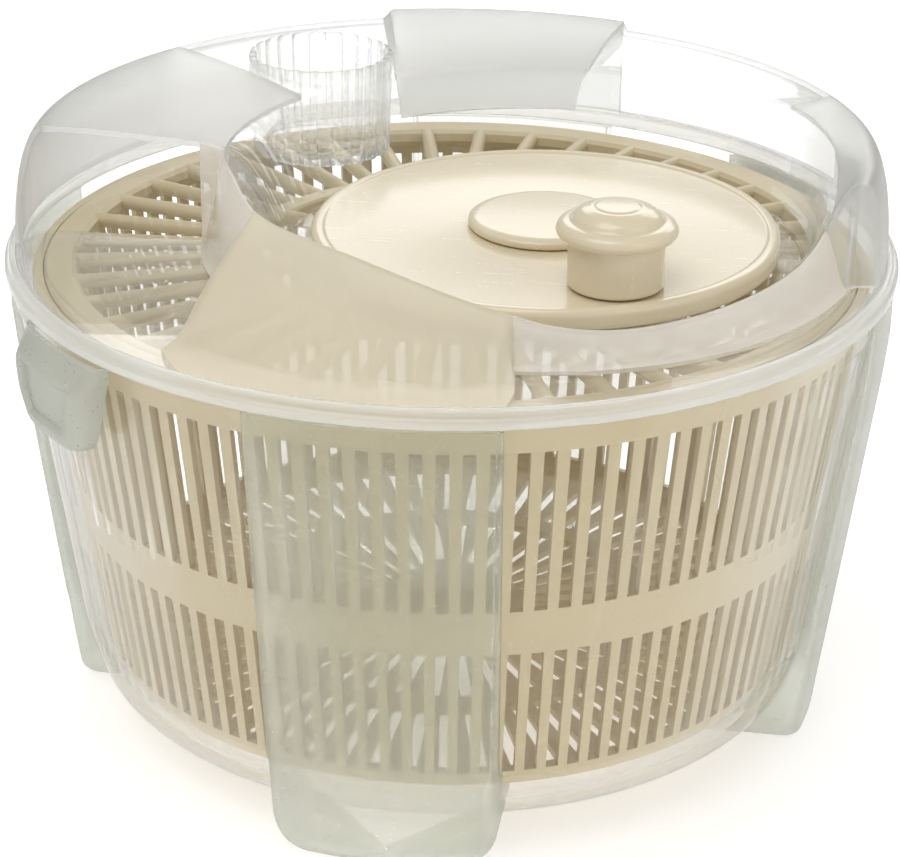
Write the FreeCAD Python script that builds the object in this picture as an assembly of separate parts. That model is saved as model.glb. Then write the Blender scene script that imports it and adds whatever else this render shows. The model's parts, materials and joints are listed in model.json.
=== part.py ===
import FreeCAD, Part
import math
import os

# Salad spinner: clear bowl on four feet, slotted basket with a spoked cover,
# domed lid with an off-centre crank disc that turns the basket through an internal gear.
# Millimetres, Z up, origin on the table under the middle of the bowl.

V = FreeCAD.Vector

# ---- driving dimensions -------------------------------------------------------------
FLANGE_R = 140.0          # largest radius, the lid's flange
FOOT_HALF_TOP = 36.6      # half width of a foot at the rim
FOOT_HALF_BOTTOM = 34.6
FOOT_R_TOP = 139.0
FOOT_R_BOTTOM = 121.0
BASKET_TOP_R = 129.5
BASKET_BOTTOM_R = 114.5
SLOTS = 108               # slots in each of the two rows round the basket
SLOT_W = 3.8
UPPER_ROW = (87.0, 140.5)
LOWER_ROW = (29.0, 72.0)
COVER_R = 127.9
SPOKES = 40
SPOKE_R = 2.4
DECK_Z = 158.0            # top of the lid's low clear deck
CREST_Z = 191.0           # top of the lid's dome
BACK_RISE = 3.0           # the back lobe stands higher
WALL = 2.0
WELL_FLOOR_Z = 157.0
WELL_R_FLOOR = 80.0       # the round well that the crank disc sits in
WELL_R_TOP = 92.0
WELL_TOP_Z = 184.0
WELL_LOW_Z = 171.0        # rim of the well where the lid is scooped out
CRANK_OFFSET = 31.5       # crank axis to basket axis
CRANK_AZ = 76.7           # direction of the crank axis, from the front towards +X
DISC_R = 72.8
DISC_Z = 165.0
KNOB_ARM = 54.0           # crank axis to knob axis
KNOB_AZ = 29.7
KNOB_STEM_R = 14.3
KNOB_BRIM_R = 18.1
KNOB_TOP_Z = 189.4
TUBE_R = 24.6             # fluted water inlet
TUBE_ARM = 93.5
TUBE_AZ = 218.0
FLUTES = 24
GEAR_MODULE = 1.5
PINION_TEETH = 14
RING_TEETH = 56

# lid sectors in degrees from the front towards +X
LOBES = {"front": (-28.0, 16.0), "right": (74.0, 119.0),
         "back": (163.0, 197.0), "left": (235.0, 283.0)}
SCOOPS = [(16.0, 74.0), (-77.0, -28.0)]
CLEAR_QUARTERS = [(119.0, 163.0), (197.0, 235.0)]


def polar(radius, azimuth, z=0.0):
    a = math.radians(azimuth)
    return V(radius * math.sin(a), -radius * math.cos(a), z)


def add(point, other):
    return V(point.x + other.x, point.y + other.y, point.z + other.z)


CRANK = polar(CRANK_OFFSET, CRANK_AZ)
KNOB = add(CRANK, polar(KNOB_ARM, KNOB_AZ))
TUBE = polar(TUBE_ARM, TUBE_AZ)


def turned(profile, centre=V(0, 0, 0)):
    pts = [V(r, 0, z) for r, z in profile]
    face = Part.Face(Part.makePolygon(pts + [pts[0]]))
    solid = face.revolve(V(0, 0, 0), V(0, 0, 1), 360)
    solid.translate(centre)
    return solid


def tube(r_out, r_in, z0, z1, centre=V(0, 0, 0)):
    return turned([(r_in, z0), (r_out, z0), (r_out, z1), (r_in, z1)], centre)


def rod(radius, z0, z1, centre=V(0, 0, 0)):
    return Part.makeCylinder(radius, z1 - z0, V(centre.x, centre.y, z0))


def wedge(a0, a1, z0, z1, radius=200.0):
    steps = 6
    pts = [V(0, 0, z0)]
    for i in range(steps + 1):
        pts.append(polar(radius, a0 + (a1 - a0) * i / steps, z0))
    return Part.Face(Part.makePolygon(pts + [pts[0]])).extrude(V(0, 0, z1 - z0))


def prism(points, z0, z1):
    pts = [V(x, y, z0) for x, y in points]
    return Part.Face(Part.makePolygon(pts + [pts[0]])).extrude(V(0, 0, z1 - z0))


def hexagon(flats, z0, z1):
    r = flats / math.sqrt(3.0)
    pts = [(r * math.cos(math.radians(60 * i)), r * math.sin(math.radians(60 * i))) for i in range(6)]
    return prism(pts, z0, z1)


def spun(shape, azimuth, centre=V(0, 0, 0)):
    out = shape.copy()
    out.rotate(centre, V(0, 0, 1), azimuth)
    return out


def ring_of(shape, count, start=0.0, centre=V(0, 0, 0)):
    return [spun(shape, start + 360.0 * i / count, centre) for i in range(count)]


def save(shape, node):
    shape = shape.removeSplitter()
    shape.exportStep("parts/" + node + ".step")
    print(node, len(shape.Solids), round(shape.Volume / 1000.0, 2), "cm3", shape.isValid())


os.makedirs("parts", exist_ok=True)

# ---- bowl ---------------------------------------------------------------------------
bowl_outer = [(0, 9), (100, 9), (108, 10.5), (114, 15), (118.5, 22), (121, 32),
              (136.2, 144), (137.6, 145), (137.6, 152), (0, 152)]
bowl_inner = [(0, 11.2), (99.5, 11.2), (106.8, 12.5), (112.2, 16.5), (116.4, 23.2),
              (118.8, 32.5), (134.2, 145.5), (134.8, 152), (0, 152)]
bowl_solid = turned(bowl_outer)
bowl_space = turned(bowl_inner)


# A grip tab stands out under the rim, hollowed at the back and scooped on its face.
def grip_tab(azimuth):
    top, bottom = 22.0, 15.5
    pts = [V(-top, 0, 150.5), V(top, 0, 150.5), V(top - 2, 0, 140), V(bottom, 0, 126),
           V(bottom - 5, 0, 122), V(5 - bottom, 0, 122), V(-bottom, 0, 126), V(2 - top, 0, 140)]
    slab = Part.Face(Part.makePolygon(pts + [pts[0]])).extrude(V(0, -20, 0))
    slab.translate(V(0, -128, 0))
    shell = turned([(125, 122), (141, 122), (144.5, 130), (145.5, 140), (144.5, 149.5),
                    (141, 151), (125, 151)])
    tab = slab.common(shell)
    scoop = [V(-13, 0, 144), V(13, 0, 144), V(9, 0, 129), V(-9, 0, 129)]
    dish = Part.Face(Part.makePolygon(scoop + [scoop[0]])).extrude(V(0, -6, 0))
    dish.translate(V(0, -143.2, 0))
    tab = tab.cut(dish)
    return spun(tab, azimuth)


pivot_boss = rod(9.0, 10.5, 17.0)
pivot_hole = rod(3.0, 10.0, 17.5)
bowl = bowl_solid.cut(bowl_space)
for tab_az in (-45.5, 134.5):
    bowl = bowl.fuse(grip_tab(tab_az).cut(bowl_solid))
bowl = bowl.fuse(pivot_boss).cut(pivot_hole)
save(bowl, "bowl_shell")

# A foot is a frosted shell over the bowl's wall that runs from the rim to the table.
foot_outer = turned([(90, 0), (FOOT_R_BOTTOM - 3, 0), (FOOT_R_BOTTOM, 2.5), (124.5, 20),
                     (135.5, 110), (FOOT_R_TOP, 146), (FOOT_R_TOP, 151.4), (90, 151.4)])
foot_hollow = turned([(92.6, -1), (FOOT_R_BOTTOM - 5.4, -1), (FOOT_R_BOTTOM - 2.4, 3.4), (122.1, 20.4),
                      (133.1, 110.4), (FOOT_R_TOP - 2.4, 145), (92.6, 145)])


def foot_mask(trim, y0):
    wt = FOOT_HALF_TOP - trim
    wb = FOOT_HALF_BOTTOM - trim
    pts = [V(-wt, y0, 152), V(wt, y0, 152), V(wb, y0, 13), V(wb - 3.4, y0, 4.2), V(wb - 11, y0, trim * 0.6),
           V(11 - wb, y0, trim * 0.6), V(3.4 - wb, y0, 4.2), V(-wb, y0, 13)]
    return Part.Face(Part.makePolygon(pts + [pts[0]])).extrude(V(0, -60, 0))


foot = foot_outer.common(foot_mask(0.0, -90.0))
foot = foot.cut(foot_hollow.common(foot_mask(2.4, -92.6)))
foot = foot.cut(bowl_solid)
foot = max(foot.Solids, key=lambda s: s.Volume)
for name, az in (("front", 0), ("right", 90), ("back", 180), ("left", 270)):
    save(spun(foot, az), "foot_" + name)

save(rod(3.0, 11.5, 28.0).fuse(Part.makeCone(3.0, 1.2, 2.0, V(0, 0, 28.0))), "pivot_pin")

# ---- basket -------------------------------------------------------------------------
# The bearing cup stays on the pin and the basket's hub turns on the cup.
cup = turned([(3.05, 17.4), (10.5, 17.4), (10.5, 19.4), (7.9, 19.4), (7.9, 32.6), (0, 32.6),
              (0, 30.6), (3.05, 30.6)])
save(cup, "bearing_cup")

basket = turned([(7.96, 20.0), (13, 20.0), (14, 22), (110, 22), (113.2, 24), (BASKET_BOTTOM_R, 27),
                 (BASKET_TOP_R, 140.5), (131.6, 141.5), (131.6, 150.3), (130.9, 151), (128.4, 151),
                 (128.4, 147.7), (124.6, 147.7), (124.6, 146.0), (127.3, 143.0), (127.3, 140),
                 (112.4, 27.6), (111.2, 25.4), (109.2, 24.4), (14, 24.4), (11.2, 35.0), (0, 35.0),
                 (0, 33.0), (7.96, 33.0)])
cutters = []
for row in (UPPER_ROW, LOWER_ROW):
    bar = Part.makeBox(SLOT_W, 30, row[1] - row[0], V(-SLOT_W / 2, -138, row[0]))
    cutters += ring_of(bar, SLOTS, 180.0 / SLOTS)
for count, r0, r1 in ((60, 70, 104), (36, 26, 62)):
    bar = Part.makeBox(4.2, r1 - r0, 4, V(-2.1, -r1, 21))
    cutters += ring_of(bar, count, 180.0 / count)
basket = basket.cut(Part.makeCompound(cutters))
save(basket, "basket")

# ---- spoked basket cover ------------------------------------------------------------
cover = turned([(118.0, 148.0), (COVER_R, 148.0), (COVER_R, 151.2), (127.0, 152.0), (119.4, 152.0),
                (118.0, 150.8)])
inner_ring = turned([(62.0, 147.8), (69.0, 147.8), (69.0, 151.3), (68.2, 152.0), (62.8, 152.0),
                     (62.0, 151.3)])
hub = turned([(0, 142.6), (16, 142.6), (17, 148.0), (27, 148.0), (27, 151.0), (17, 151.6), (16, 153.0),
              (0, 153.0)])
rods = []
for i in range(SPOKES):
    axis = polar(1.0, 360.0 * (i + 0.5) / SPOKES)
    foot_pt = polar(66.0, 360.0 * (i + 0.5) / SPOKES, 149.8)
    rods.append(Part.makeCylinder(SPOKE_R, 54.0, foot_pt, axis).common(rod(150.0, 148.0, 153.0)))
for i in range(16):
    axis = polar(1.0, 360.0 * i / 16)
    foot_pt = polar(24.0, 360.0 * i / 16, 149.2)
    rods.append(Part.makeCylinder(2.8, 41.0, foot_pt, axis).common(rod(150.0, 148.0, 153.0)))
cover = cover.multiFuse([inner_ring, hub] + rods)
cover = cover.cut(hexagon(12.8, 144.6, 154.0))
save(cover, "basket_cover")

# ---- lid ----------------------------------------------------------------------------
def dome(t, z0, rise=0.0):
    crest = CREST_Z + rise
    return turned([(0, z0), (136.2 - t, z0), (135.4 - t, crest - 19), (133.4 - t, crest - 7),
                   (131.2 - t, crest - 2.4 - t * 0.6), (127.5, crest - t), (98, crest - 2.5 - t),
                   (60, crest - 4 - t), (0, crest - 5 - t)])


def high_dome(t, z0):
    return dome(t, z0, BACK_RISE)


# The front lobe falls from the well's rim to the deck, so its rim is lower to the right.
def slope(t, z0):
    return turned([(0, z0), (121.0 - 1.4 * t, z0), (121.0 - 1.4 * t, 158.0 - 0.5 * t), (113.5 - t, 167.5 - t),
                   (106 - 0.8 * t, 172.5 - t), (96, 179.5 - t), (88, 184 - t), (78, 185 - t), (0, 185 - t)])


def well(grow, z0):
    flare = (WELL_R_TOP - WELL_R_FLOOR) / (WELL_TOP_Z - WELL_FLOOR_Z)
    r0 = WELL_R_FLOOR + flare * (z0 - WELL_FLOOR_Z) + grow
    cone = turned([(0, z0), (r0, z0), (WELL_R_TOP + grow, WELL_TOP_Z), (WELL_R_TOP + grow, 200), (0, 200)],
                  CRANK)
    return cone


def sector_shell(a0, a1, form):
    gap = math.degrees(WALL / 110.0)
    outer = form(0.0, DECK_Z).common(wedge(a0, a1, DECK_Z, 200)).cut(well(0.0, 150))
    inner = form(WALL, DECK_Z - 1).common(wedge(a0 + gap, a1 - gap, DECK_Z - 1, 200)).cut(well(WALL, 150))
    return outer.cut(inner)


lid = turned([(134.0, 153.0), (136.0, 152.0), (139.4, 152.0), (FLANGE_R, 152.6), (FLANGE_R, 155.0),
              (139.2, 155.6), (138.8, 157.4), (138.0, DECK_Z), (60, DECK_Z), (60, 156.0), (134.0, 156.0)])
lid = lid.cut(well(0.0, 150)).fuse(rod(WELL_R_FLOOR - 0.4, 155.0, WELL_FLOOR_Z, CRANK))
lid = lid.fuse(well(1.0, 155.0).cut(well(-0.4, 155.0)).common(rod(150.0, 155.0, DECK_Z)))
for a0, a1 in SCOOPS:
    liner = well(WALL, 157.0).cut(well(0.0, 156.0)).common(wedge(a0, a1, 157.0, WELL_LOW_Z))
    lid = lid.fuse(liner)
for a0, a1 in CLEAR_QUARTERS:
    lid = lid.fuse(sector_shell(a0, a1, dome))
lid = lid.cut(rod(TUBE_R, DECK_Z, 200, TUBE)).cut(rod(21.0, 150, 160, TUBE))
lid = lid.fuse(rod(9.0, 155.0, 159.0, CRANK)).fuse(rod(9.5, 153.6, 157.4))
lid = lid.cut(rod(2.5, 150, 160, CRANK)).cut(rod(6.5, 150, 160))
lid = max(lid.Solids, key=lambda s: s.Volume)
save(lid, "lid_shell")

FORMS = {"front": slope, "right": dome, "back": high_dome, "left": dome}
for name, (a0, a1) in LOBES.items():
    lobe = sector_shell(a0, a1, FORMS[name])
    lobe = max(lobe.Solids, key=lambda s: s.Volume)
    save(lobe, "lid_lobe_" + name)


def fluted(radius, depth):
    pts = []
    for i in range(FLUTES * 4):
        r = radius - depth * (0.5 - 0.5 * math.cos(2 * math.pi * i / 4.0))
        a = 2 * math.pi * i / (FLUTES * 4)
        pts.append((TUBE.x + r * math.cos(a), TUBE.y + r * math.sin(a)))
    return pts


inlet = prism(fluted(TUBE_R, 1.3), DECK_Z, CREST_Z + 0.5).cut(prism(fluted(TUBE_R - 1.8, 1.3), 150, 200))
save(inlet, "fill_tube")

# ---- drive --------------------------------------------------------------------------
save(tube(6.5, 4.05, 153.6, 157.9).fuse(tube(7.6, 4.05, 157.4, 157.9)), "pinion_bush")


def gear_points(teeth, pitch_r, tip, root, tip_w, root_w, phase, centre):
    pts = []
    step = 2 * math.pi / teeth
    for i in range(teeth):
        mid = phase + step * i
        for r, w, side in ((root, root_w, -1), (tip, tip_w, -1), (tip, tip_w, 1), (root, root_w, 1)):
            a = mid + side * w / (2.0 * r)
            pts.append((centre.x + r * math.cos(a), centre.y + r * math.sin(a)))
    return pts


mesh_dir = math.atan2(-CRANK.y, -CRANK.x)
pinion_r = GEAR_MODULE * PINION_TEETH / 2.0
ring_r = GEAR_MODULE * RING_TEETH / 2.0
pinion = prism(gear_points(PINION_TEETH, pinion_r, pinion_r + 1.2, pinion_r - 1.9, 1.0, 2.5, mesh_dir,
                           V(0, 0, 0)), 158.4, 161.5)
pinion = pinion.fuse(rod(4.0, 147.4, 158.6)).fuse(rod(6.0, 158.2, 158.6)).cut(rod(1.2, 146, 156))
save(pinion, "drive_pinion")
save(hexagon(12.0, 147.4, 153.2).cut(rod(4.0, 146, 155)), "drive_coupler")
save(rod(1.2, 147.4, 154.0).fuse(turned([(0, 145.6), (4.6, 145.6), (5.2, 146.2), (5.2, 147.4), (0, 147.4)])),
     "coupler_screw")

ring = rod(48.0, 158.4, 162.0, CRANK)
ring = ring.cut(prism(gear_points(RING_TEETH, ring_r, ring_r - 1.2, ring_r + 1.7, 1.0, 2.4,
                                  mesh_dir + math.pi / RING_TEETH, CRANK), 158, 163))
screw_spots = [add(CRANK, polar(46.1, az)) for az in (90.0, 210.0, 330.0)]
for spot in screw_spots:
    ring = ring.cut(rod(1.1, 158, 163, spot))
save(ring, "ring_gear")
screws = []
for spot in screw_spots:
    screws.append(rod(1.1, 158.4, 163.4, spot).fuse(rod(1.8, 157.7, 158.4, spot)))
save(Part.makeCompound(screws), "ring_gear_screw")

# ---- crank disc and knob ------------------------------------------------------------
disc = turned([(6.05, 159.4), (14.5, 159.4), (14.5, 162.0), (70.2, 162.0), (70.2, 158.6), (72.2, 158.6),
               (DISC_R, 159.6), (DISC_R, 163.6), (72.2, 164.6), (71.0, DISC_Z), (69.6, DISC_Z),
               (68.8, 164.4), (12.0, 164.4), (12.0, 163.0), (6.05, 163.0)], CRANK)
disc = disc.fuse(rod(5.0, 159.4, 162.2, KNOB)).cut(rod(4.0, 159.0, 166.0, KNOB))
for spot in screw_spots:
    disc = disc.cut(rod(1.1, 161, 163.4, spot))
save(disc, "crank_disc")
save(tube(6.0, 2.5, 159.0, 163.2, CRANK), "axle_bush")
save(tube(11.2, 2.5, 163.3, 164.1, CRANK).fuse(tube(6.0, 2.5, 163.2, 163.4, CRANK)), "axle_washer")
axle = turned([(0, 153.2), (2.5, 153.2), (2.5, 164.1), (5.4, 164.1), (5.4, 165.4), (4.4, 166.4), (0, 166.4)],
              CRANK)
save(axle, "axle_screw")
save(tube(4.4, 2.5, 152.7, 155.0, CRANK), "axle_nut")
hub_cap = turned([(12.6, 164.4), (23.2, 164.4), (24.0, 165.3), (23.8, 166.4), (22.8, 167.3), (21.0, 167.8),
                  (0, 168.1), (0, 166.9), (12.6, 166.7)], CRANK)
save(hub_cap, "hub_cap")

save(turned([(0, 159.4), (4.0, 159.4), (4.0, 182.6), (6.5, 182.6), (6.5, 183.8), (0, 183.8)], KNOB), "knob_pin")
knob_body = turned([(4.06, 165.0), (KNOB_STEM_R - 0.3, 165.0), (KNOB_STEM_R, 165.4), (KNOB_STEM_R, 179.6),
                    (12.2, 179.6), (12.2, 182.2), (4.06, 182.2)], KNOB)
save(knob_body, "knob_stem")
knob_cap = turned([(12.2, 179.6), (16.2, 179.6), (17.6, 180.6), (KNOB_BRIM_R, 182.0), (17.6, 183.6),
                   (16.2, 184.8), (14.4, 185.2), (13.6, 185.4), (12.4, 186.8), (10.0, 188.3), (7.5, 189.2),
                   (6.0, KNOB_TOP_Z), (0, KNOB_TOP_Z), (0, 187.6), (7.0, 187.2), (9.4, 185.8), (10.0, 182.5),
                   (12.2, 182.5)], KNOB)
save(knob_cap, "knob_cap")
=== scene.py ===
# %% [markdown]
# # A salad spinner in Blender
# This lesson builds the looks of a salad spinner around a fixed frame of engineering parts. The frame
# already holds every gear, pin and screw in its true place. What it lacks is soft moulded shapes and
# believable plastic, so each lesson step makes one visible piece or one finish.

# %% Load the frame
import json
import math
import bmesh
import bpy
from mathutils import Matrix, Vector


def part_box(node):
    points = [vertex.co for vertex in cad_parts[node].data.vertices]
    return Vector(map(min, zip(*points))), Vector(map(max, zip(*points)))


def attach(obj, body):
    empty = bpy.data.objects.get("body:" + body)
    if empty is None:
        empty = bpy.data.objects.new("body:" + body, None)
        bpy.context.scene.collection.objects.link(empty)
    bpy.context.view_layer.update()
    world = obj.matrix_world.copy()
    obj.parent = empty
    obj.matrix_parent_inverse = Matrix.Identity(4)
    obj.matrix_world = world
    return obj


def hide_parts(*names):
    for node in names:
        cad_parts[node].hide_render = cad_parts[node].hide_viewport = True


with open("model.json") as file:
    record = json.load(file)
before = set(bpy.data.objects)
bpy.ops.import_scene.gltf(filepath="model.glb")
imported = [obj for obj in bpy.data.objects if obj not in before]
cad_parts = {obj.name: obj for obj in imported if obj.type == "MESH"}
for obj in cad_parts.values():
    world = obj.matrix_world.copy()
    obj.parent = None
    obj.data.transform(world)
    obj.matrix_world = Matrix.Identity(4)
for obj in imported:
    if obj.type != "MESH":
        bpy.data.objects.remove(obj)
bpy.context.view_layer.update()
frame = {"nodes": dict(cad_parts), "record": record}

# %% [markdown]
# ## Places
# Three places come from the frame, the crank disc, the knob and the water inlet, so that the moulded
# pieces there fit the parts they cover. These are round, so the middle of each box is on that piece's own
# axis.

# %% Read the main places
MM = 0.001
WELD_DISTANCE = 0.00001
CREASE = 35.0


def middle(node):
    low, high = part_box(node)
    return ((low[0] + high[0]) / 2, (low[1] + high[1]) / 2)


crank_at = middle("crank_disc")
knob_at = middle("knob_stem")
inlet_at = middle("fill_tube")
print("crank", crank_at, "knob", knob_at, "inlet", inlet_at)

# %% [markdown]
# ## Building meshes
# Most of these pieces are turned or swept shapes. One helper takes rows of points and joins them into a
# skin, and it can close the skin round the axis. A second one rounds the corners of a drawn profile,
# because moulded plastic never has a knife edge: the small radius is what catches the light.

# %% Mesh helpers
def add_piece(name, points, faces, material, body, stands_for=(), crease=CREASE):
    mesh = bpy.data.meshes.new(name)
    mesh.from_pydata([Vector(p) * MM for p in points], [], faces)
    mesh.validate()
    mesh.update()
    piece = bpy.data.objects.new(name, mesh)
    bpy.context.collection.objects.link(piece)
    mesh.materials.append(material)
    mesh.shade_smooth()
    mesh.set_sharp_from_angle(angle=math.radians(crease))
    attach(piece, body)
    if stands_for:
        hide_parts(*stands_for)
    return piece


def skin(rows, wrap=True):
    points = [p for row in rows for p in row]
    n = len(rows[0])
    faces = []
    for i in range(len(rows) - 1):
        for j in range(n if wrap else n - 1):
            k = (j + 1) % n
            faces.append((i * n + j, i * n + k, (i + 1) * n + k, (i + 1) * n + j))
    return points, faces


def rounded(profile, radius, steps=4, closed=False):
    out = []
    n = len(profile)
    for i, p in enumerate(profile):
        if not closed and i in (0, n - 1):
            out.append(tuple(p))
            continue
        a, b, c = Vector(profile[i - 1]), Vector(p), Vector(profile[(i + 1) % n])
        cut = min(radius, (a - b).length * 0.45, (c - b).length * 0.45)
        start, end = b + (a - b).normalized() * cut, b + (c - b).normalized() * cut
        for s in range(steps + 1):
            t = s / steps
            out.append(tuple(start * (1 - t) ** 2 + b * 2 * t * (1 - t) + end * t ** 2))
    return out


def turned(profile, centre=(0.0, 0.0), segments=160):
    points, faces, ring = [], [], []
    cx, cy = centre[0] / MM, centre[1] / MM
    for r, z in profile:
        first = len(points)
        if r < 1e-6:
            points.append((cx, cy, z))
            ring.append([first] * segments)
            continue
        for j in range(segments):
            a = 2 * math.pi * j / segments
            points.append((cx + r * math.cos(a), cy + r * math.sin(a), z))
        ring.append(list(range(first, first + segments)))
    for low, high in zip(ring, ring[1:]):
        for j in range(segments):
            k = (j + 1) % segments
            quad = [low[j], low[k], high[k], high[j]]
            face = list(dict.fromkeys(quad))
            if len(face) > 2:
                faces.append(tuple(face))
    return points, faces


def closed_ring(profile, centre=(0.0, 0.0), segments=160):
    return turned(profile + [profile[0]], centre, segments)


def weld(piece):
    bm = bmesh.new()
    bm.from_mesh(piece.data)
    bmesh.ops.remove_doubles(bm, verts=bm.verts, dist=WELD_DISTANCE)
    bmesh.ops.recalc_face_normals(bm, faces=bm.faces)
    bm.to_mesh(piece.data)
    bm.free()


def thicken(piece, thickness, even=True):
    shell = piece.modifiers.new("wall", "SOLIDIFY")
    shell.thickness = thickness * MM
    shell.offset = -1.0
    shell.use_even_offset = even
    bpy.context.view_layer.objects.active = piece
    bpy.ops.object.modifier_apply(modifier=shell.name)
    piece.data.shade_smooth()
    piece.data.set_sharp_from_angle(angle=math.radians(CREASE))


def polar(radius, azimuth):
    a = math.radians(azimuth)
    return radius * math.sin(a), -radius * math.cos(a)


print("mesh helpers ready")

# %% [markdown]
# ## Moulded surface
# Injection moulded plastic is never perfectly even. It has a fine orange-peel texture from the steel
# mould, faint flow marks, and hairline scratches from washing up. These belong on every plastic here, so
# they are two shader groups, built once. Each group puts out only masks and heights, and each finish
# decides what to do with them.

# %% Shader groups
def new_group(name, inputs, outputs):
    group = bpy.data.node_groups.new(name, "ShaderNodeTree")
    for label, default in inputs:
        socket = group.interface.new_socket(name=label, in_out="INPUT", socket_type="NodeSocketFloat")
        socket.default_value = default
    for label in outputs:
        group.interface.new_socket(name=label, in_out="OUTPUT", socket_type="NodeSocketFloat")
    return group, group.nodes.new("NodeGroupInput"), group.nodes.new("NodeGroupOutput")


def scaled_coords(group, source):
    coords = group.nodes.new("ShaderNodeTexCoord")
    scale = group.nodes.new("ShaderNodeVectorMath")
    scale.operation = "SCALE"
    group.links.new(coords.outputs["Object"], scale.inputs[0])
    group.links.new(source, scale.inputs["Scale"])
    return scale.outputs[0]


def make_mould_group():
    group, inp, out = new_group("Mould Texture", [("Peel Scale", 900.0), ("Flow Scale", 22.0)],
                                ["Peel", "Flow"])
    peel = group.nodes.new("ShaderNodeTexNoise")
    peel.inputs["Scale"].default_value = 1.0
    peel.inputs["Detail"].default_value = 3.0
    peel.inputs["Roughness"].default_value = 0.55
    group.links.new(scaled_coords(group, inp.outputs["Peel Scale"]), peel.inputs["Vector"])
    flow = group.nodes.new("ShaderNodeTexNoise")
    flow.inputs["Scale"].default_value = 1.0
    flow.inputs["Detail"].default_value = 4.0
    flow.inputs["Distortion"].default_value = 1.2
    group.links.new(scaled_coords(group, inp.outputs["Flow Scale"]), flow.inputs["Vector"])
    group.links.new(peel.outputs["Fac"], out.inputs["Peel"])
    group.links.new(flow.outputs["Fac"], out.inputs["Flow"])
    return group


def make_scratch_group():
    group, inp, out = new_group("Washing Scratches", [("Scale", 60.0), ("Coverage", 0.35)], ["Scratches"])
    stretch = group.nodes.new("ShaderNodeMapping")
    stretch.inputs["Scale"].default_value = (1.0, 14.0, 1.0)
    stretch.inputs["Rotation"].default_value = (0.0, 0.0, 0.7)
    group.links.new(scaled_coords(group, inp.outputs["Scale"]), stretch.inputs["Vector"])
    lines = group.nodes.new("ShaderNodeTexNoise")
    lines.inputs["Scale"].default_value = 1.0
    lines.inputs["Detail"].default_value = 2.0
    group.links.new(stretch.outputs[0], lines.inputs["Vector"])
    where = group.nodes.new("ShaderNodeTexNoise")
    where.inputs["Scale"].default_value = 1.0
    group.links.new(scaled_coords(group, inp.outputs["Scale"]), where.inputs["Vector"])
    band = group.nodes.new("ShaderNodeMapRange")
    band.inputs["From Min"].default_value = 0.60
    band.inputs["From Max"].default_value = 0.72
    group.links.new(lines.outputs["Fac"], band.inputs["Value"])
    spread = group.nodes.new("ShaderNodeMath")
    spread.operation = "MULTIPLY"
    group.links.new(band.outputs["Result"], spread.inputs[0])
    group.links.new(where.outputs["Fac"], spread.inputs[1])
    amount = group.nodes.new("ShaderNodeMath")
    amount.operation = "MULTIPLY"
    group.links.new(spread.outputs[0], amount.inputs[0])
    group.links.new(inp.outputs["Coverage"], amount.inputs[1])
    group.links.new(amount.outputs[0], out.inputs["Scratches"])
    return group


MOULD = make_mould_group()
SCRATCH = make_scratch_group()
print("shader groups:", MOULD.name, "and", SCRATCH.name)

# %% [markdown]
# ## Opaque plastics
# The basket and cover are a satin beige, the crank and knob a glossier cream. Both are the same recipe: a
# Principled shader whose colour drifts a little with the flow marks, whose roughness rises in scratches,
# and whose bump is the mould's fine peel.

# %% Opaque plastic finishes
def start_material(name):
    material = bpy.data.materials.new(name)
    material.use_nodes = True
    shader = material.node_tree.nodes["Principled BSDF"]
    return material, material.node_tree, shader


def place_group(tree, group, **values):
    node = tree.nodes.new("ShaderNodeGroup")
    node.node_tree = group
    for label, value in values.items():
        node.inputs[label.replace("_", " ")].default_value = value
    return node


def map_range(tree, source, low, high, out_low, out_high):
    node = tree.nodes.new("ShaderNodeMapRange")
    for label, value in (("From Min", low), ("From Max", high), ("To Min", out_low), ("To Max", out_high)):
        node.inputs[label].default_value = value
    tree.links.new(source, node.inputs["Value"])
    return node.outputs["Result"]


def colour_mix(tree, factor, first, second):
    node = tree.nodes.new("ShaderNodeMix")
    node.data_type = "RGBA"
    node.inputs[6].default_value = (*first, 1.0)
    node.inputs[7].default_value = (*second, 1.0)
    tree.links.new(factor, node.inputs[0])
    return node.outputs[2]


def combine(tree, operation, first, second):
    node = tree.nodes.new("ShaderNodeMath")
    node.operation = operation
    tree.links.new(first, node.inputs[0])
    tree.links.new(second, node.inputs[1])
    return node.outputs[0]


def add_bump(tree, shader, height, strength, distance):
    bump = tree.nodes.new("ShaderNodeBump")
    bump.inputs["Strength"].default_value = strength
    bump.inputs["Distance"].default_value = distance
    tree.links.new(height, bump.inputs["Height"])
    tree.links.new(bump.outputs["Normal"], shader.inputs["Normal"])


def add_roughness(tree, shader, mould, marks, low, high):
    base = map_range(tree, mould.outputs["Peel"], 0.3, 0.7, low, high)
    worn = map_range(tree, marks.outputs["Scratches"], 0.0, 0.5, 0.0, 0.12)
    tree.links.new(combine(tree, "ADD", base, worn), shader.inputs["Roughness"])


def opaque_plastic(name, light, dark, rough, coat):
    material, tree, shader = start_material(name)
    mould = place_group(tree, MOULD, Peel_Scale=900.0, Flow_Scale=24.0)
    marks = place_group(tree, SCRATCH, Scale=55.0, Coverage=0.5)
    tree.links.new(colour_mix(tree, map_range(tree, mould.outputs["Flow"], 0.3, 0.7, 0.0, 1.0), light, dark),
                   shader.inputs["Base Color"])
    add_roughness(tree, shader, mould, marks, rough - 0.04, rough + 0.05)
    add_bump(tree, shader, mould.outputs["Peel"], 0.10, 0.0004)
    shader.inputs["Coat Weight"].default_value = coat
    shader.inputs["Coat Roughness"].default_value = 0.12
    shader.inputs["IOR"].default_value = 1.49
    return material


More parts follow.
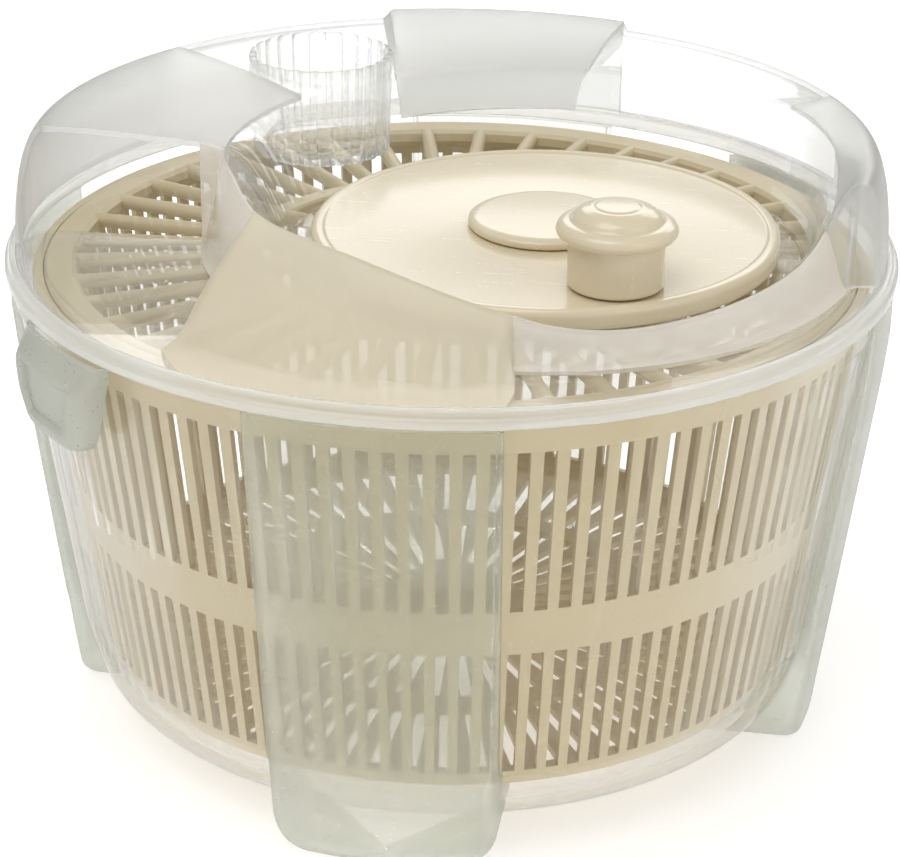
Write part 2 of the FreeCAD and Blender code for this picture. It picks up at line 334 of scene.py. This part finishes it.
beige = opaque_plastic("beige satin plastic", (0.64, 0.545, 0.345), (0.605, 0.51, 0.315), 0.38, 0.1)
cream = opaque_plastic("cream gloss plastic", (0.79, 0.695, 0.50), (0.765, 0.665, 0.47), 0.22, 0.35)
bearing_white = opaque_plastic("white bearing plastic", (0.86, 0.86, 0.84), (0.80, 0.80, 0.78), 0.42, 0.0)
print("opaque finishes:", beige.name, cream.name, bearing_white.name)

# %% [markdown]
# ## Clear and frosted plastics
# A clear wall two millimetres thick hardly bends light, and what the eye reads is its edges and its
# highlights. So the clear finish is a glassy shader that is mostly see-through face on and grows
# more opaque at a grazing angle, where real clear plastic shows its thickness. At a grazing angle every
# finish here also turns its colour to a painted edge shade, dark grey on the clear plastic, which stands
# in for the dark lines that refraction draws along real clear edges. The frosted finish spreads what
# is behind it and carries a milky veil of its own. Thick rims and folded walls of the same clear plastic
# look denser than a flat wall, and so do feet and tabs beside lobes, so each gets its own amount of veil.
# The front lobe's frosted plastic is tinted with a painted beige glow of the cover below it, and the
# clear well wall with a painted beige reflection of the crank disc and basket.

# %% Clear and frosted finishes
def see_through(name, light, dark, edge, rough, alpha, clearness, peel=0.06, veil_from=0.0):
    material, tree, shader = start_material(name)
    mould = place_group(tree, MOULD, Peel_Scale=700.0, Flow_Scale=14.0)
    marks = place_group(tree, SCRATCH, Scale=40.0, Coverage=0.6)
    facing = tree.nodes.new("ShaderNodeLayerWeight")
    facing.inputs["Blend"].default_value = 0.4
    body = colour_mix(tree, map_range(tree, mould.outputs["Flow"], 0.3, 0.7, 0.0, 1.0), light, dark)
    # The base colour turns to the edge colour at a grazing angle: a painted edge shade standing in for the
    # dark lines that refraction draws along real clear edges.
    rim = tree.nodes.new("ShaderNodeMix")
    rim.data_type = "RGBA"
    rim.inputs[7].default_value = (*edge, 1.0)
    tree.links.new(map_range(tree, facing.outputs["Facing"], 0.35, 1.0, 0.0, 1.0), rim.inputs[0])
    tree.links.new(body, rim.inputs[6])
    tree.links.new(rim.outputs[2], shader.inputs["Base Color"])
    add_roughness(tree, shader, mould, marks, max(rough - 0.03, 0.01), rough + 0.03)
    path = tree.nodes.new("ShaderNodeLightPath")
    lit = combine(tree, "MAXIMUM", path.outputs["Is Shadow Ray"], path.outputs["Is Diffuse Ray"])
    veil = map_range(tree, facing.outputs["Facing"], veil_from, 1.0, *alpha)
    tree.links.new(combine(tree, "MULTIPLY", veil, map_range(tree, lit, 0.0, 1.0, 1.0, 0.35)),
                   shader.inputs["Alpha"])
    add_bump(tree, shader, mould.outputs["Peel"], peel, 0.00006)
    shader.inputs["Transmission Weight"].default_value = clearness
    shader.inputs["Specular IOR Level"].default_value = 0.3
    shader.inputs["IOR"].default_value = 1.45
    return material


# The third colour of each finish below is its painted edge shade.
clear = see_through("clear moulded plastic", (0.97, 0.98, 0.97), (0.94, 0.96, 0.95), (0.20, 0.22, 0.21),
                    0.015, (0.05, 0.90), 0.95, peel=0.03, veil_from=0.35)
clear_flutes = see_through("clear fluted plastic", (0.95, 0.97, 0.96), (0.92, 0.95, 0.93), (0.36, 0.39, 0.37),
                           0.02, (0.20, 0.95), 0.94)
frosted = see_through("frosted moulded plastic", (0.76, 0.77, 0.74), (0.73, 0.74, 0.71), (0.52, 0.53, 0.51),
                      0.42, (0.52, 0.95), 0.78, peel=0.4, veil_from=0.15)
# Front lobe: the frosted plastic tinted with a painted beige glow, standing in for the beige cover lit
# through the lobe.
frosted_painted_glow = see_through("frosted plastic with painted beige glow", (0.95, 0.88, 0.71), (0.92, 0.85, 0.68), (0.84, 0.79, 0.68),
                           0.58, (0.68, 0.95), 0.50, peel=0.3)
frosted_foot = see_through("light frosted plastic", (0.70, 0.74, 0.64), (0.66, 0.70, 0.60),
                           (0.36, 0.39, 0.34), 0.30, (0.26, 0.94), 0.72, peel=0.2, veil_from=0.05)
frosted_tab = see_through("milky frosted plastic", (0.66, 0.68, 0.61), (0.63, 0.65, 0.58), (0.30, 0.32, 0.28),
                          0.30, (0.66, 0.97), 0.45, peel=0.1)
# Well wall: clear plastic tinted with a painted beige reflection of the crank disc and basket seen through
# it.
clear_wall_painted_beige = see_through("clear well wall with painted beige reflection", (0.98, 0.93, 0.85), (0.96, 0.91, 0.83),
                         (0.70, 0.65, 0.57), 0.05, (0.62, 0.92), 0.35, peel=0.03)
clear_rim = see_through("clear rim plastic", (0.95, 0.95, 0.90), (0.92, 0.92, 0.87), (0.55, 0.57, 0.54),
                        0.04, (0.50, 0.92), 0.45, peel=0.03)
print("see-through finishes:", clear.name, frosted.name)

# %% [markdown]
# ## Steel
# The pin, screws and washers are turned stainless steel. Lathe marks run round the axis, so a wave
# texture along the radius gives the rings, and a little noise keeps them from looking printed.

# %% Steel finish
def turned_steel(name):
    material, tree, shader = start_material(name)
    coords = tree.nodes.new("ShaderNodeTexCoord")
    rings = tree.nodes.new("ShaderNodeTexWave")
    rings.wave_type = "BANDS"
    rings.bands_direction = "Z"
    rings.inputs["Scale"].default_value = 900.0
    rings.inputs["Distortion"].default_value = 1.5
    tree.links.new(coords.outputs["Object"], rings.inputs["Vector"])
    tree.links.new(colour_mix(tree, rings.outputs["Fac"], (0.60, 0.60, 0.61), (0.50, 0.50, 0.52)),
                   shader.inputs["Base Color"])
    tree.links.new(map_range(tree, rings.outputs["Fac"], 0.0, 1.0, 0.22, 0.36), shader.inputs["Roughness"])
    add_bump(tree, shader, rings.outputs["Fac"], 0.1, 0.0001)
    shader.inputs["Metallic"].default_value = 1.0
    return material


steel = turned_steel("turned stainless steel")
finish_of = {"beige_plastic": beige, "cream_plastic": cream, "white_bearing_plastic": bearing_white,
             "clear_plastic": clear, "frosted_plastic": frosted, "steel": steel}
for part in frame["record"]["subparts"]:
    node = frame["nodes"][part["node"]]
    for index in range(len(node.material_slots)):
        node.material_slots[index].material = finish_of[part["material_slot"]]

# %% [markdown]
# ## The bowl
# The bowl is one clear moulding. Its wall leans in, turns under in a large soft corner and ends in a flat
# floor with a boss for the pivot pin. A turned profile is the right tool, since the bowl is round, and
# rounding the profile gives the corner its even highlight.

# %% Bowl
bowl_profile = [(3.2, 17.0), (9.0, 17.0), (9.0, 11.4), (99.0, 11.3), (112.6, 16.6), (119.0, 34.0),
                (134.3, 145.0), (134.9, 151.6), (137.5, 151.6), (137.5, 145.4), (136.6, 144.2),
                (121.4, 32.6), (115.4, 13.6), (100.0, 9.0), (0.0, 9.0)]
bowl_outline = [(0.0, 11.5), (3.2, 11.5)] + rounded(bowl_profile, 9.0, 8)
points, faces = turned(bowl_outline, segments=240)
bowl = add_piece("clear_bowl", points, faces, clear, "bowl", ["bowl_shell"], 30)
weld(bowl)
print("bowl faces:", len(bowl.data.polygons))

# %% [markdown]
# ## Grip tabs
# Two tabs stand out from the rim so that the fingers can lift the bowl. Each is a shield with a dished
# panel. It is laid out on a grid across and down, and pushed outwards, which lets the edges
# fall back to the wall in a smooth roll.

# %% Grip tabs
def step(x, low, high):
    t = min(max((x - low) / (high - low), 0.0), 1.0)
    return t * t * (3 - 2 * t)


def grip_tab(name, azimuth):
    across, down = 60, 60
    rows = []
    for i in range(down + 1):
        v = i / down
        z = 150.8 - 28.8 * v
        half = 22.5 - 2.2 * step(v, 0.05, 0.35) - 4.6 * step(v, 0.3, 0.9)
        low = max(v - 0.76, 0.0) / 0.24
        half *= math.sqrt(max(1.0 - low ** 2.4, 0.0)) * 0.62 + 0.38 if low > 0 else 1.0
        row = []
        for j in range(across + 1):
            u = 2.0 * j / across - 1.0
            roll = max(1.0 - abs(u) ** 6, 0.0) ** 0.35
            roll *= max(1.0 - low ** 3, 0.0) ** 0.4
            lift = 2.6 + 5.6 * step(v, 0.0, 0.32) - 1.6 * step(v, 0.5, 1.0)
            panel = step(0.70 - abs(u), 0.0, 0.07) * step(v, 0.24, 0.29) * step(0.84 - v, 0.0, 0.06)
            r = 137.0 + lift * roll - 2.0 * panel
            a = azimuth + math.degrees(half * u / 140.0)
            x, y = polar(r, a)
            row.append((x, y, z))
        rows.append(row)
    points, faces = skin(rows, wrap=False)
    piece = add_piece(name, points, faces, frosted_tab, "bowl")
    thicken(piece, 1.4, even=False)
    return piece


for name, azimuth in (("grip_tab_front", -45.5), ("grip_tab_back", 134.5)):
    tab = grip_tab(name, azimuth)
    print(name, "faces:", len(tab.data.polygons))

# %% [markdown]
# ## Feet
# Four frosted feet run down the bowl's wall and carry it clear of the table. Each is a shallow pillar with
# rounded side edges and large rounded lower corners. The section is drawn at many heights, from the wall
# out, across and back to the wall, and the sections are skinned.

# %% Feet
def wall_radius(z):
    return 121.6 + (136.6 - 121.6) * (z - 32.6) / (144.2 - 32.6)


def foot_face_radius(z):
    r = 124.0 + (139.0 - 124.0) * min(max(z - 8.0, 0.0) / 125.0, 1.0)
    if z < 8.0:
        r -= 4.5 * (1.0 - math.sqrt(max(1.0 - ((8.0 - z) / 8.0) ** 2, 0.0)))
    return min(r, 138.9)


def foot_half_width(z):
    half = 34.6 + 2.2 * (z / 150.0)
    if z < 13.0:
        half -= 11.0 * (1.0 - math.sqrt(max(1.0 - ((13.0 - z) / 13.0) ** 2, 0.0)))
    return half


def foot_section(z, azimuth):
    face, half = foot_face_radius(z), foot_half_width(z)
    inner, turn = 92.0, 34.0
    if z > turn:
        back = wall_radius(z) + 0.3
    else:
        back = inner + (wall_radius(turn) + 0.3 - inner) * max(z - 11.0, 0.0) / 23.0
    corner = min(4.5, (face - back) * 0.45)
    sides = [(back, half)] + [(back + (face - corner - back) * t, half) for t in (0.33, 0.66, 1.0)]
    for s in range(1, 7):
        a = math.pi / 2 * s / 6
        sides.append((face - corner + corner * math.sin(a), half - corner + corner * math.cos(a)))
    across = [(face, (half - corner) * (1 - 2 * t / 20)) for t in range(1, 20)]
    path = sides + across + [(r, -w) for r, w in reversed(sides)]
    return [(*polar(r, azimuth + math.degrees(w / r)), z) for r, w in path]


def foot_piece(name, azimuth):
    heights = [151.3, 146, 136, 122, 106, 90, 74, 58, 46, 40, 35, 30, 25, 20, 16, 13, 11, 9, 7, 5.2, 3.6, 2.2,
               1.1, 0.4, 0.0]
    rows = [foot_section(z, azimuth) for z in heights]
    bottom = rows[-1]
    cx = sum(p[0] for p in bottom) / len(bottom)
    cy = sum(p[1] for p in bottom) / len(bottom)
    for t in (0.7, 0.3, 0.02):
        rows.append([(cx + (p[0] - cx) * t, cy + (p[1] - cy) * t, 0.0) for p in bottom])
    points, faces = skin(rows, wrap=False)
    piece = add_piece(name + "_shell", points, faces, frosted_foot, "bowl", [name])
    weld(piece)
    thicken(piece, 2.0, even=False)
    return piece


for name, azimuth in (("foot_front", 0), ("foot_right", 90), ("foot_back", 180), ("foot_left", 270)):
    foot = foot_piece(name, azimuth)
print("feet faces each:", len(foot.data.polygons))

# %% [markdown]
# ## The lid's shape
# The lid is a dome with a round well for the crank, scooped away in two front quarters so that a low
# clear deck shows the spokes below. One grid covers it all: rows run outwards from the well and columns
# run round. The columns lean so that some of them lie exactly on the lobes' edges, which keeps the end
# walls of the lobes crisp.

# %% Lid shape functions
DECK = 158.0
CREST = 190.9
BASE_R = 136.2
WELL_FLOOR = 157.0
WELL_FLOOR_R = 80.0
RIM_R = 94.0
RIM_OFFSET = 26.0
BACK_RISE = 3.0
WELL_ROWS = 9
WRAP_ROW = 4
SCOOP_WALL_ROWS = 17
LOBE_COLUMNS = 30
GAP_COLUMNS = 60
LID_WALL = 1.8
SLOPE_FOOT = 121.0
LOBE_EDGES = [("front", (-24.0, -36.0, 0.0), (15.0, 18.0, 0.0)),
              ("right", (80.0, 77.0, 0.0), (119.0, 115.0, 0.0)),
              ("back", (163.0, 160.0, 0.0), (197.0, 204.0, 0.0)),
              ("left", (237.0, 235.0, 0.0), (287.0, 288.0, -7.0))]
RIM_HEIGHTS = [(-78, 187), (-60, 189.5), (-49, 189.5), (-42, 186.2), (-35, 184.0), (-17, 183.6),
               (-8, 182.6), (1, 179.8), (17, 172.2), (24, 168.6), (31, 166.6), (39, 166.3),
               (54, 168.3), (67, 171.2), (76, 175.5), (87, 182.5), (95, 187.6), (105, 190),
               (118, 190), (132, 187), (180, 186.4), (260, 186.6), (282, 187)]
crank_az = math.degrees(math.atan2(crank_at[0], -crank_at[1]))
crank_off = math.hypot(*crank_at) / MM


def reach(azimuth, offset, radius):
    side = math.radians(azimuth - crank_az)
    return offset * math.cos(side) + math.sqrt(radius ** 2 - (offset * math.sin(side)) ** 2)


def rim_height(azimuth):
    a = (azimuth + 78.0) % 360.0 - 78.0
    last = len(RIM_HEIGHTS) - 1
    i = next(k for k in range(last) if a <= RIM_HEIGHTS[k + 1][0])
    (a0, z0), (a1, z1) = RIM_HEIGHTS[i], RIM_HEIGHTS[i + 1]
    before, after = RIM_HEIGHTS[max(i - 1, 0)], RIM_HEIGHTS[min(i + 2, last)]
    t = (a - a0) / (a1 - a0)
    leave = (z1 - before[1]) / (a1 - before[0]) * (a1 - a0)
    arrive = (after[1] - z0) / (after[0] - a0) * (a1 - a0)
    rise = t * t * (3 - 2 * t)
    return z0 + (z1 - z0) * rise + leave * t * (1 - t) ** 2 - arrive * t * t * (1 - t)


def crest_radius(rim_r):
    return max(127.5, rim_r + 9.0)


def dome_height(r, rim_r, rim_z, crest=CREST):
    crest_r = crest_radius(rim_r)
    if r <= crest_r:
        t = (r - rim_r) / (crest_r - rim_r)
        return rim_z + (crest - rim_z) * (1.0 - (1.0 - t) ** 1.8)
    x = min((r - crest_r) / (BASE_R - crest_r), 1.0)
    return DECK + (crest - DECK) * (1.0 - x ** 2.6) ** 0.55


def back_height(r, rim_r, rim_z):
    return dome_height(r, rim_r, rim_z, CREST + BACK_RISE)


def slope_height(r, rim_r, rim_z):
    t = min((r - rim_r) / (SLOPE_FOOT - rim_r), 1.0)
    return DECK + (rim_z - DECK) * (1.0 - t ** 1.3)


def scoop_height(r, rim_r, rim_z):
    d = r - rim_r
    return DECK + (rim_z - DECK) * (1.0 - step(d, 0.2, 8.4)) ** 1.15


def lid_radii(rim_r):
    crest_r = crest_radius(rim_r)
    near = [0.0, 0.7, 1.5, 2.4, 3.4, 4.6, 5.8, 7.0, 8.2]
    out = [rim_r + d for d in near]
    out += [rim_r + near[-1] + (crest_r - rim_r - near[-1]) * t / 10 for t in range(1, 11)]
    out += [crest_r + (BASE_R - crest_r) * math.sin(math.pi / 2 * t / 18) for t in range(1, 19)]
    return out


print("well rim reaches", round(reach(crank_az, RIM_OFFSET, RIM_R), 1), "mm at the crank side")

# %% [markdown]
# ## Cutting the lid into its pieces
# The columns are listed once round the lid, each with its lean and with how far it belongs to a lobe: 0 in
# a scoop, 1 on the dome. A lobe's edge is a few columns close together, so the wall there is steep with a
# small rounded brow. Then the grid is split, since lobes are frosted and the rest is clear.

# %% Lid columns
def spread(first, last, weight, kind, count):
    columns = []
    for i in range(count):
        t = i / count
        lean = [a + (b - a) * t for a, b in zip(first, last)]
        columns.append((*lean, weight, kind))
    return columns


def edge_columns(edge, rising):
    brow = [(-0.55, 0.0), (-0.30, 0.45), (-0.05, 0.80), (0.25, 0.95), (0.65, 0.99), (1.3, 1.0)]
    if not rising:
        brow = [(-d, w) for d, w in reversed(brow)]
    return [(edge[0] + d, edge[1] + d, edge[2], w) for d, w in brow]


def shift(edge, amount):
    return (edge[0] + amount, edge[1] + amount, edge[2])


def lid_columns():
    columns = []
    kinds = ["scoop", "dome", "dome", "scoop"]
    for index, (name, left, right) in enumerate(LOBE_EDGES):
        after = kinds[index]
        before = kinds[index - 1]
        start = left
        if before == "scoop":
            columns += [(*lean, name) for lean in edge_columns(left, True)]
            start = shift(left, 2.0)
        end = shift(right, -2.0) if after == "scoop" else right
        columns += spread(start, end, 1.0, name, LOBE_COLUMNS)
        if after == "scoop":
            tail = edge_columns(right, False)
            wall = "scoop" if name == "left" else name
            columns += [(*lean, wall) for lean in tail[:-1]]
            columns.append((*tail[-1][:3], 0.0, "scoop"))
        following = LOBE_EDGES[(index + 1) % 4][1]
        if index == 3:
            following = shift(following, 360.0)
        first = shift(right, 1.2) if after == "scoop" else right
        last = shift(following, -1.2) if after == "scoop" else following
        weight = 0.0 if after == "scoop" else 1.0
        columns += spread(first, last, weight, after, GAP_COLUMNS)
    return columns


def lid_point(column, row):
    out_az, in_az, bow, weight, kind = column
    rim_r = reach(in_az, RIM_OFFSET, RIM_R)
    rim_z = rim_height(in_az)
    if row < WELL_ROWS:
        t = row / WELL_ROWS
        floor_r = reach(in_az, crank_off, WELL_FLOOR_R)
        r = floor_r + (rim_r - floor_r) * t
        z = WELL_FLOOR + (rim_z - WELL_FLOOR) * (0.25 * t + 0.75 * math.sin(math.pi / 2 * t))
        return (*polar(r, in_az), z)
    k = row - WELL_ROWS
    across = step(k, 0, 36)
    azimuth = in_az + (out_az - in_az) * across + bow * math.sin(math.pi * across)
    rim_here = reach(azimuth, RIM_OFFSET, RIM_R)
    r = lid_radii(rim_here)[k]
    raised = {"front": slope_height, "back": back_height}.get(kind, dome_height)
    low, high = scoop_height(r, rim_here, rim_z), raised(r, rim_here, rim_z)
    return (*polar(r, azimuth), low + (high - low) * weight)


columns = lid_columns()
row_count = WELL_ROWS + len(lid_radii(100.0))
grid = [[lid_point(column, row) for column in columns] for row in range(row_count)]
print("lid grid:", row_count, "rows by", len(columns), "columns")


# %% Lid pieces
def lid_piece(name, wanted, material, nodes):
    n = len(columns)
    faces = []
    for i in range(row_count - 1):
        for j in range(n):
            k = (j + 1) % n
            kind = columns[j][4]
            if i < (WRAP_ROW if kind == "back" else WELL_ROWS):
                kind = "slope"
            elif i < SCOOP_WALL_ROWS and kind == "scoop":
                kind = "brow"
            if wanted(kind):
                faces.append((i * n + j, (i + 1) * n + j, (i + 1) * n + k, i * n + k))
    used = sorted({v for face in faces for v in face})
    renumber = {v: i for i, v in enumerate(used)}
    points = [grid[v // n][v % n] for v in used]
    faces = [tuple(renumber[v] for v in face) for face in faces]
    piece = add_piece(name, points, faces, material, "lid", nodes)
    weld(piece)
    up = sum(p.normal.z * p.area for p in piece.data.polygons)
    if up < 0:
        piece.data.flip_normals()
    thicken(piece, LID_WALL)
    return piece


clear_lid = lid_piece("lid_clear_shell", lambda kind: kind in ("slope", "scoop", "dome"), clear,
                      ["lid_shell"])
# The scoop brow wall carries the painted beige reflection.
lid_piece("lid_scoop_wall", lambda kind: kind == "brow", clear_wall_painted_beige, [])
for name, _, _ in LOBE_EDGES:
    # The front lobe takes the frosted plastic with the painted beige glow.
    finish = frosted_painted_glow if name == "front" else frosted
    lid_piece("lobe_" + name, lambda kind: kind == name, finish,
              ["lid_lobe_" + name])
print("clear lid faces:", len(clear_lid.data.polygons))

# %% [markdown]
# ## Flange and well floor
# The flange is the lid's stiff outer rim. It has a stepped lip that shows as two or three bright lines
# round the object. The well floor is the clear plate under the crank disc, with a boss for each axis.

# %% Flange and well floor
flange = rounded([(136.3, 158.0), (138.3, 158.0), (138.9, 155.6), (139.9, 155.0), (139.9, 152.3),
                  (136.0, 152.2), (134.2, 153.2), (134.2, 156.2), (136.3, 156.2)], 0.7, 3, closed=True)
points, faces = closed_ring(flange, segments=240)
flange_piece = add_piece("lid_flange", points, faces, clear_rim, "lid")
weld(flange_piece)
floor_profile = rounded([(79.9, 155.1), (79.9, 157.0), (9.0, 157.0), (9.0, 159.0), (2.5, 159.0),
                         (2.5, 155.1)], 0.5, 3, closed=True)
points, faces = closed_ring(floor_profile, crank_at)
well_floor = add_piece("lid_well_floor", points, faces, clear, "lid")
weld(well_floor)
print("flange and floor:", len(flange_piece.data.polygons), len(well_floor.data.polygons))

# %% [markdown]
# ## Water inlet
# The inlet is a fluted tube, like a cupcake case: the flutes stiffen a thin wall and break up its
# reflections. The radius swings in and out with the angle, and it flares a little to the top.

# %% Fluted inlet
FLUTE_COUNT = 24


def flute_ring(radius, depth, z, count=288):
    cx, cy = inlet_at[0] / MM, inlet_at[1] / MM
    ring = []
    for j in range(count):
        a = 2 * math.pi * j / count
        wave = abs(math.cos(FLUTE_COUNT / 2 * a)) ** 0.7
        r = radius - depth * (1.0 - wave)
        ring.append((cx + r * math.cos(a), cy + r * math.sin(a), z))
    return ring


outer = [(158.2, 23.4), (164, 23.6), (172, 23.9), (180, 24.2), (187, 24.45), (190.4, 24.5), (191.3, 24.2)]
inner = [(191.4, 23.4), (190.6, 22.9), (187, 22.7), (180, 22.5), (172, 22.2), (164, 21.9), (158.2, 21.7)]
rows = [flute_ring(r, 1.1, z) for z, r in outer] + [flute_ring(r, 1.1, z) for z, r in inner]
points, faces = skin(rows + [rows[0]])
inlet = add_piece("fluted_inlet", points, faces, clear_flutes, "lid", ["fill_tube"], 50)
weld(inlet)
print("inlet faces:", len(inlet.data.polygons))

# %% [markdown]
# The tube stands in the clear back quarter, so that wall needs a round hole where the tube passes. A
# boolean with a plain cutter does it, and the cutter is removed afterwards.

# %% Hole for the inlet
def bore(piece, centre, radius, low, high):
    points, faces = turned([(0.0, low), (radius, low), (radius, high), (0.0, high)], centre, 96)
    mesh = bpy.data.meshes.new("cutter")
    mesh.from_pydata([Vector(p) * MM for p in points], [], faces)
    cutter = bpy.data.objects.new("cutter", mesh)
    bpy.context.collection.objects.link(cutter)
    weld(cutter)
    cut = piece.modifiers.new("bore", "BOOLEAN")
    cut.operation = "DIFFERENCE"
    cut.solver = "EXACT"
    cut.object = cutter
    bpy.context.view_layer.objects.active = piece
    bpy.ops.object.modifier_apply(modifier=cut.name)
    bpy.data.objects.remove(cutter)


bore(clear_lid, inlet_at, 23.0, 150.0, 205.0)
clear_lid.data.set_sharp_from_angle(angle=math.radians(CREASE))
print("clear lid after the bore:", len(clear_lid.data.polygons))

# %% [markdown]
# ## Crank disc, hub cap and knob
# The cream crank is turned work: a flat disc with a raised bead at its edge, a low round cap that hides the
# axle's screw, and a knob with a straight stem, a rolled brim and a crowned top. Each is its own
# profile with its own corner radius.

# %% Crank disc and knob
disc_profile = rounded([(6.1, 159.4), (14.5, 159.4), (14.5, 162.0), (70.2, 162.0), (70.2, 158.6),
                        (72.3, 158.6), (72.8, 160.0), (72.8, 163.4), (71.6, 165.0), (69.3, 165.0),
                        (68.5, 164.4), (12.0, 164.4), (12.0, 163.0), (6.1, 163.0)], 1.0, 5, closed=True)
points, faces = closed_ring(disc_profile, crank_at, 220)
disc = add_piece("crank_top", points, faces, cream, "crank", ["crank_disc"])
weld(disc)
cap_profile = rounded([(12.8, 164.45), (23.0, 164.45), (24.2, 165.2), (24.0, 166.9), (21.6, 167.9),
                       (0.0, 168.1)], 1.4, 6)
points, faces = turned([(0.0, 166.9), (12.4, 166.8)] + cap_profile, crank_at, 120)
cap = add_piece("crank_hub_cap", points, faces, cream, "crank", ["hub_cap"])
weld(cap)
stem_profile = rounded([(4.1, 165.0), (13.8, 165.0), (14.3, 165.6), (14.3, 179.7), (12.2, 179.7),
                        (12.2, 182.2), (4.1, 182.2)], 0.4, 3, closed=True)
points, faces = closed_ring(stem_profile, knob_at, 96)
stem = add_piece("knob_stem_body", points, faces, cream, "knob", ["knob_stem"])
weld(stem)
top_profile = [(12.3, 179.75), (15.4, 179.7), (17.2, 180.3), (18.1, 182.0), (17.4, 183.9), (15.6, 184.9),
               (14.0, 185.0), (13.5, 185.5), (12.6, 186.9), (10.6, 188.2), (8.0, 188.9), (7.0, 188.9),
               (6.3, 189.3), (0.0, 189.4)]
points, faces = turned([(0.0, 187.6), (7.0, 187.2), (9.4, 185.8), (10.0, 182.5), (12.3, 182.5)]
                       + rounded(top_profile, 0.8, 4), knob_at, 96)
knob_top = add_piece("knob_crown", points, faces, cream, "knob", ["knob_cap"])
weld(knob_top)
print("crank and knob faces:", [len(o.data.polygons) for o in (disc, cap, stem, knob_top)])

# %% [markdown]
# ## Studio
# The setting is plain: a pale floor that runs into a pale sky, one large soft light high on the left, a
# weaker one on the right, and a strip behind that draws bright lines along the clear rims. A long lens
# from about 25 degrees above the table keeps the circles calm.

# %% Floor, lights and camera
def studio_floor():
    size = 3000.0
    points = [(-size, -size, -0.4), (size, -size, -0.4), (size, size, -0.4), (-size, size, -0.4)]
    mesh = bpy.data.meshes.new("floor")
    mesh.from_pydata([Vector(p) * MM for p in points], [], [(0, 1, 2, 3)])
    floor = bpy.data.objects.new("studio_floor", mesh)
    bpy.context.collection.objects.link(floor)
    material, tree, shader = start_material("pale floor")
    mould = place_group(tree, MOULD, Peel_Scale=60.0, Flow_Scale=3.0)
    tree.links.new(colour_mix(tree, mould.outputs["Flow"], (0.93, 0.93, 0.93), (0.90, 0.90, 0.90)),
                   shader.inputs["Base Color"])
    shader.inputs["Roughness"].default_value = 0.7
    shader.inputs["Emission Color"].default_value = (1.0, 1.0, 1.0, 1.0)
    shader.inputs["Emission Strength"].default_value = 0.42
    mesh.materials.append(material)


LIGHT_TARGET = Vector((0.0, 0.0, 0.1))


def soft_light(name, place, size, power):
    data = bpy.data.lights.new(name, "AREA")
    data.shape = "RECTANGLE"
    data.size, data.size_y = size
    data.energy = power
    light = bpy.data.objects.new(name, data)
    bpy.context.collection.objects.link(light)
    light.location = place
    light.rotation_euler = (LIGHT_TARGET - Vector(place)).to_track_quat("-Z", "Y").to_euler()


def studio_world():
    world = bpy.data.worlds.new("studio")
    world.use_nodes = True
    background = world.node_tree.nodes["Background"]
    background.inputs["Color"].default_value = (1.0, 1.0, 1.0, 1.0)
    background.inputs["Strength"].default_value = 0.46
    bpy.context.scene.world = world


CAMERA_AZ, CAMERA_EL, CAMERA_ROLL = 9.2, 24.76, 0.54
CAMERA_DISTANCE, CAMERA_LENS, TARGET_Z = 0.8506, 104.0, 0.0888


def studio_camera():
    az, el, roll = (math.radians(v) for v in (CAMERA_AZ, CAMERA_EL, CAMERA_ROLL))
    back = Vector((math.sin(az) * math.cos(el), -math.cos(az) * math.cos(el), math.sin(el)))
    right = Vector((math.cos(az), math.sin(az), 0.0))
    up = back.cross(right)
    turned_right = right * math.cos(roll) + up * math.sin(roll)
    turned_up = up * math.cos(roll) - right * math.sin(roll)
    data = bpy.data.cameras.new("camera")
    data.lens = CAMERA_LENS
    data.sensor_width = 36.0
    camera = bpy.data.objects.new("camera", data)
    bpy.context.collection.objects.link(camera)
    place = Vector((0.0, 0.0, TARGET_Z)) + back * CAMERA_DISTANCE
    spin = Matrix((turned_right, turned_up, back)).transposed()
    camera.matrix_world = Matrix.Translation(place) @ spin.to_4x4()
    bpy.context.scene.camera = camera


studio_floor()
studio_world()
soft_light("key", (-0.30, -0.45, 1.5), (1.0, 1.0), 8.6)
soft_light("fill", (1.2, -0.6, 0.8), (1.0, 1.0), 2.6)
soft_light("back strip", (0.1, 1.3, 0.9), (1.4, 0.5), 5.0)
studio_camera()
scene = bpy.context.scene
scene.view_settings.view_transform = "Standard"
scene.cycles.transparent_max_bounces = 64
scene.cycles.max_bounces = 24
scene.cycles.transmission_bounces = 16
print("studio ready")

# %% [markdown]
# ## Finish
# The last cell closes the lesson.

# %% Close the lesson
print("lesson finished")
